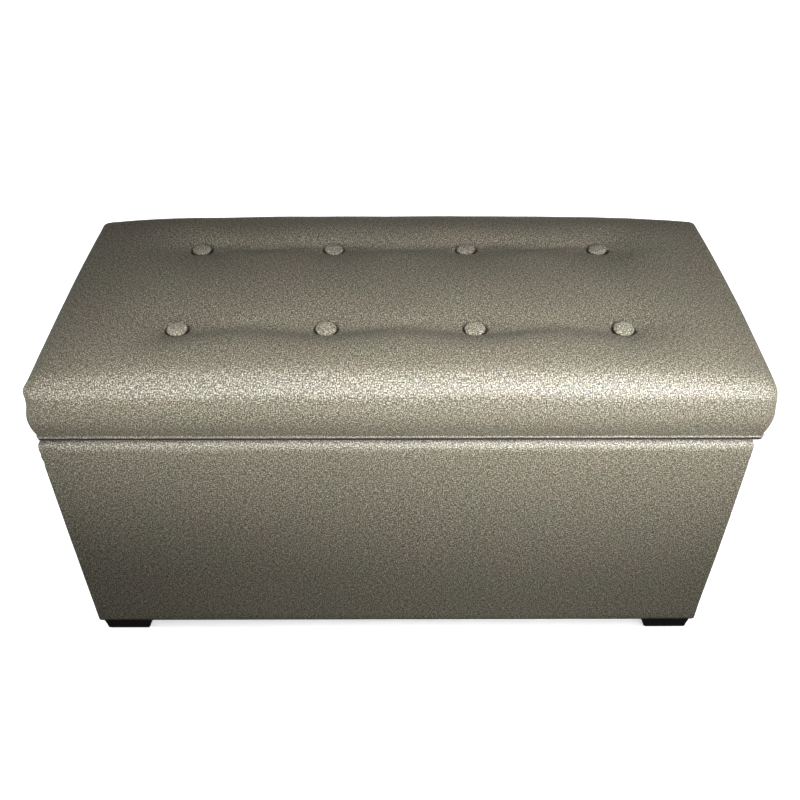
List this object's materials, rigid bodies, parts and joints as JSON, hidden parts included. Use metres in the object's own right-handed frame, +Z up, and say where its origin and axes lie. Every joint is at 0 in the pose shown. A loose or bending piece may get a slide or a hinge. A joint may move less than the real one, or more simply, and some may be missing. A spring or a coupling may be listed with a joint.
{
  "type": "storage bench",
  "caption": "Upholstered box bench with a button-tufted padded lid that hinges up at the rear on folding stays over a lined storage box, on tapered block feet.",
  "frame": {"origin": "on the floor under the centre of the bench", "axes": "+X along the bench to its right-hand end, +Y to the rear where the lid is hinged, +Z up; the front faces -Y"},
  "size_m": [0.916, 0.444, 0.486],
  "materials": {
    "upholstery_fabric": "marled grey-beige woven cloth, soft sheen",
    "plywood": "bare plywood",
    "pine": "bare softwood",
    "lining_cloth": "thin black non-woven cloth",
    "dust_cover_cloth": "thin black non-woven cloth",
    "foot_wood": "satin espresso lacquer",
    "steel": "bright zinc plate",
    "black_steel": "black satin enamel",
    "foam": "cut upholstery foam",
    "twine": "waxed upholstery twine"
  },
  "bodies": {
    "base": {"front_board": "plywood", "rear_board": "plywood", "left_board": "plywood", "right_board": "plywood", "floor_board": "plywood", "front_cleat": "pine", "rear_cleat": "pine", "corner_block_front_left": "pine", "corner_block_front_right": "pine", "corner_block_rear_left": "pine", "corner_block_rear_right": "pine", "base_cover_front": "upholstery_fabric", "base_cover_right": "upholstery_fabric", "base_cover_rear": "upholstery_fabric", "base_cover_left": "upholstery_fabric", "storage_lining": "lining_cloth", "dust_cover": "dust_cover_cloth", "foot_front_left": "foot_wood", "foot_front_right": "foot_wood", "foot_rear_left": "foot_wood", "foot_rear_right": "foot_wood", "foot_bolt_front_left": "steel", "foot_bolt_front_right": "steel", "foot_bolt_rear_left": "steel", "foot_bolt_rear_right": "steel", "hinge_left_base_leaf": "steel", "hinge_left_pin": "steel", "hinge_right_base_leaf": "steel", "hinge_right_pin": "steel", "stay_left_base_bracket": "black_steel", "stay_right_base_bracket": "black_steel"},
    "lid": {"lid_board": "plywood", "lid_foam": "foam", "lid_cover": "upholstery_fabric", "lid_lining": "lining_cloth", "button_1": "upholstery_fabric", "button_2": "upholstery_fabric", "button_3": "upholstery_fabric", "button_4": "upholstery_fabric", "button_5": "upholstery_fabric", "button_6": "upholstery_fabric", "button_7": "upholstery_fabric", "button_8": "upholstery_fabric", "button_tie_1": "twine", "button_tie_2": "twine", "button_tie_3": "twine", "button_tie_4": "twine", "button_tie_5": "twine", "button_tie_6": "twine", "button_tie_7": "twine", "button_tie_8": "twine", "hinge_left_lid_leaf": "steel", "hinge_right_lid_leaf": "steel", "stay_left_lid_bracket": "black_steel", "stay_right_lid_bracket": "black_steel"},
    "stay_left_lower": {"stay_left_lower_arm": "black_steel"},
    "stay_left_upper": {"stay_left_upper_arm": "black_steel"},
    "stay_right_lower": {"stay_right_lower_arm": "black_steel"},
    "stay_right_upper": {"stay_right_upper_arm": "black_steel"}
  },
  "joints": [
    {"name": "lid_hinge", "type": "hinge", "parent": "base", "child": "lid", "pos_m": [0, 0.218, 0.3845], "axis": [-1, 0, 0], "range_deg": [0, 98]},
    {"name": "stay_left_base_pivot", "type": "hinge", "parent": "base", "child": "stay_left_lower", "pos_m": [-0.4241, 0.168, 0.2445], "axis": [-1, 0, 0], "range_deg": [0, 98]},
    {"name": "stay_left_elbow", "type": "hinge", "parent": "stay_left_lower", "child": "stay_left_upper", "pos_m": [-0.4217, 0.018, 0.2275], "axis": [-1, 0, 0], "range_deg": [-98, 0]},
    {"name": "stay_right_base_pivot", "type": "hinge", "parent": "base", "child": "stay_right_lower", "pos_m": [0.4241, 0.168, 0.2445], "axis": [-1, 0, 0], "range_deg": [0, 98]},
    {"name": "stay_right_elbow", "type": "hinge", "parent": "stay_right_lower", "child": "stay_right_upper", "pos_m": [0.4217, 0.018, 0.2275], "axis": [-1, 0, 0], "range_deg": [-98, 0]}
  ],
  "couplings": [
    {"joint": "stay_left_base_pivot", "follows": "lid_hinge", "ratio": 1},
    {"joint": "stay_left_elbow", "follows": "lid_hinge", "ratio": -1},
    {"joint": "stay_right_base_pivot", "follows": "lid_hinge", "ratio": 1},
    {"joint": "stay_right_elbow", "follows": "lid_hinge", "ratio": -1}
  ]
}
